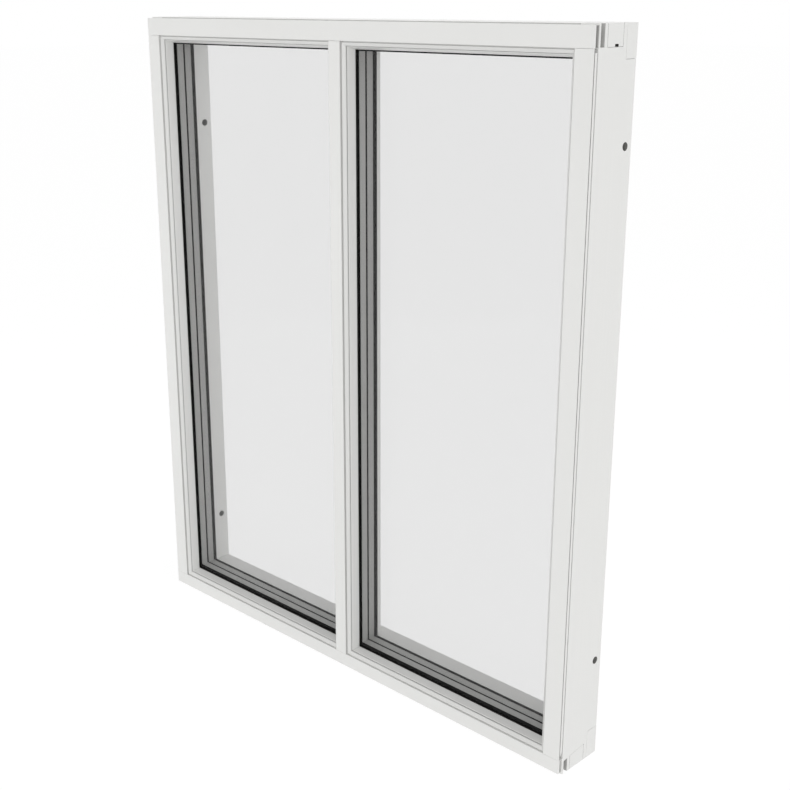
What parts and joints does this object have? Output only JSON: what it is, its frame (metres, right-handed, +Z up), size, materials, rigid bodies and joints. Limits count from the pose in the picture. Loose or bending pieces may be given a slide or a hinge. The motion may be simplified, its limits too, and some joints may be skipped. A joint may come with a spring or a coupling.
{
  "type": "fixed window",
  "caption": "Fixed timber window with white aluminium cladding outside and sealed triple-glazed lights on both sides of a central mullion.",
  "frame": {"origin": "middle of the underside of the sill, at half the width and half the depth of the frame", "axes": "+X to the right as seen from outside, +Y from the outside to the room, +Z up"},
  "size_m": [1.12, 0.115, 1.3],
  "materials": {
    "painted_timber": "white satin paint",
    "powder_coated_cladding": "white powder coat, satin",
    "black_gasket": "matt",
    "clear_glass": "clear float glass",
    "grey_spacer": "grey warm-edge bar",
    "black_edge_seal": "matt",
    "black_block": "matt"
  },
  "bodies": {
    "root": {"head_cladding": "powder_coated_cladding", "left_jamb_cladding": "powder_coated_cladding", "left_light_bottom_bead": "powder_coated_cladding", "left_light_edge_seal": "black_edge_seal", "left_light_inner_gasket": "black_gasket", "left_light_inner_pane": "clear_glass", "left_light_inner_spacer": "grey_spacer", "left_light_left_bead": "powder_coated_cladding", "left_light_middle_pane": "clear_glass", "left_light_outer_gasket": "black_gasket", "left_light_outer_pane": "clear_glass", "left_light_outer_spacer": "grey_spacer", "left_light_right_bead": "powder_coated_cladding", "left_light_setting_blocks": "black_block", "left_light_top_bead": "powder_coated_cladding", "mullion_cladding": "powder_coated_cladding", "right_jamb_cladding": "powder_coated_cladding", "right_light_bottom_bead": "powder_coated_cladding", "right_light_edge_seal": "black_edge_seal", "right_light_inner_gasket": "black_gasket", "right_light_inner_pane": "clear_glass", "right_light_inner_spacer": "grey_spacer", "right_light_left_bead": "powder_coated_cladding", "right_light_middle_pane": "clear_glass", "right_light_outer_gasket": "black_gasket", "right_light_outer_pane": "clear_glass", "right_light_outer_spacer": "grey_spacer", "right_light_right_bead": "powder_coated_cladding", "right_light_setting_blocks": "black_block", "right_light_top_bead": "powder_coated_cladding", "sill_cladding": "powder_coated_cladding", "timber_head": "painted_timber", "timber_left_jamb": "painted_timber", "timber_mullion": "painted_timber", "timber_right_jamb": "painted_timber", "timber_sill": "painted_timber"}
  },
  "joints": []
}
